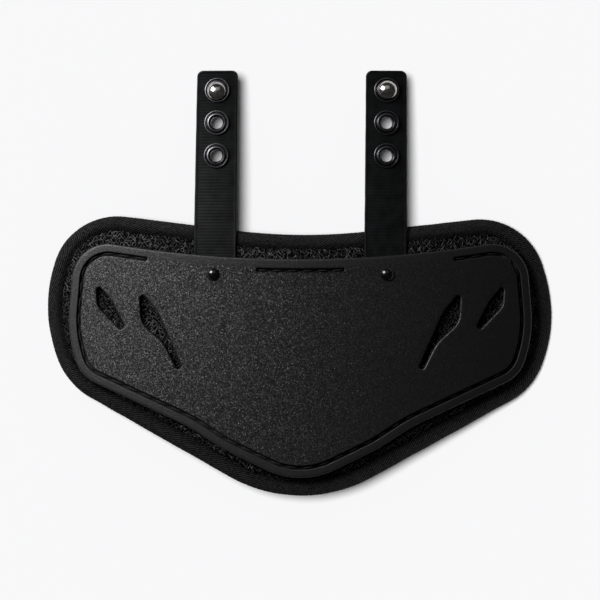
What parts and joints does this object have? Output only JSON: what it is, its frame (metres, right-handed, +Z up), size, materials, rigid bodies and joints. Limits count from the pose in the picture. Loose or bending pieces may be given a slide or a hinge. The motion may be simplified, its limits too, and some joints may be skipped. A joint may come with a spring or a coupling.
{
  "type": "football back plate",
  "caption": "Winged guard for the lower back: a vented moulded plate sewn to a bound foam pad, with webbing straps and eyelets that hang it from shoulder pads.",
  "frame": {"origin": "middle of the overall footprint, on the floor that the guard lies on with its face up", "axes": "+X to the right of the face, across the wings; +Y towards the free ends of the straps; +Z up, out of the face"},
  "size_m": [0.3028, 0.2546, 0.032],
  "materials": {
    "plate_plastic": "fine moulded grain with a smoother rim",
    "mesh_fabric": "open warp-knit mesh",
    "binding_knit": "ribbed stretch knit",
    "webbing": "coated webbing with fine cross ribs",
    "eyelet_metal": "glossy gunmetal",
    "screw_chrome": "polished",
    "rivet_black": "glossy black"
  },
  "bodies": {
    "root": {"plate": "plate_plastic", "pad": "mesh_fabric", "edge_binding": "binding_knit", "strap_left": "webbing", "strap_right": "webbing", "eyelet_left_low": "eyelet_metal", "eyelet_left_middle": "eyelet_metal", "eyelet_left_top": "eyelet_metal", "eyelet_right_low": "eyelet_metal", "eyelet_right_middle": "eyelet_metal", "eyelet_right_top": "eyelet_metal", "screw_left": "screw_chrome", "screw_right": "screw_chrome", "rivet_left": "rivet_black", "rivet_right": "rivet_black"}
  },
  "joints": []
}
